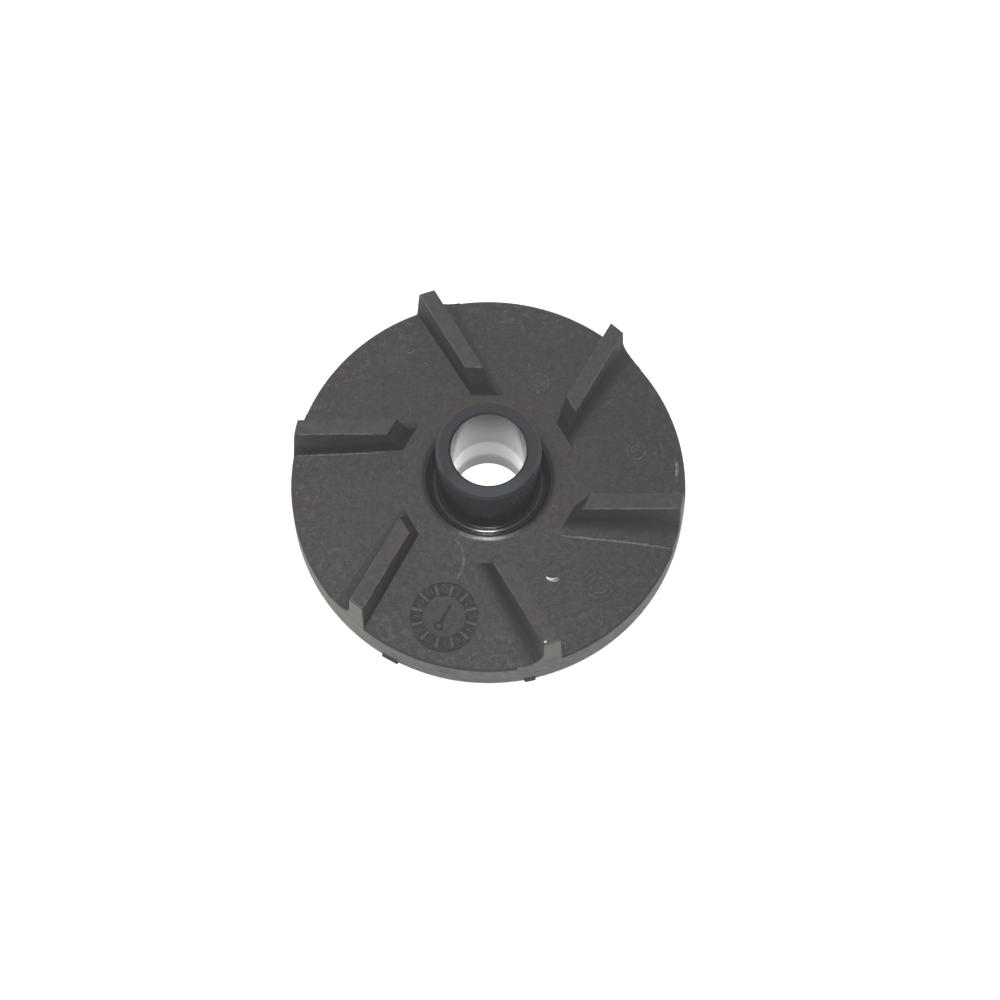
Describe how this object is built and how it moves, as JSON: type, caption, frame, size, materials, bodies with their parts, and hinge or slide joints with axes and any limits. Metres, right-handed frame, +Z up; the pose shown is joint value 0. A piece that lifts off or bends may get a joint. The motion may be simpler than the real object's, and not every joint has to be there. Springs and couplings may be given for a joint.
{
  "type": "pump impeller",
  "caption": "Open pump impeller: a coned disc with straight drafted blades and a tall hub with a plain running bore, in one dark moulding.",
  "frame": {"origin": "on the bore's axis, at the hub's lower end, which the impeller stands on", "axes": "+Z up the bore, from the thrust face through the disc to the blades and the hub's top; +X along the radial line that one of the blades stands beside"},
  "size_m": [0.057, 0.057, 0.02],
  "materials": {
    "compound": "matte as moulded, polished round the hub"
  },
  "bodies": {
    "root": {"impeller": "compound"}
  },
  "joints": []
}
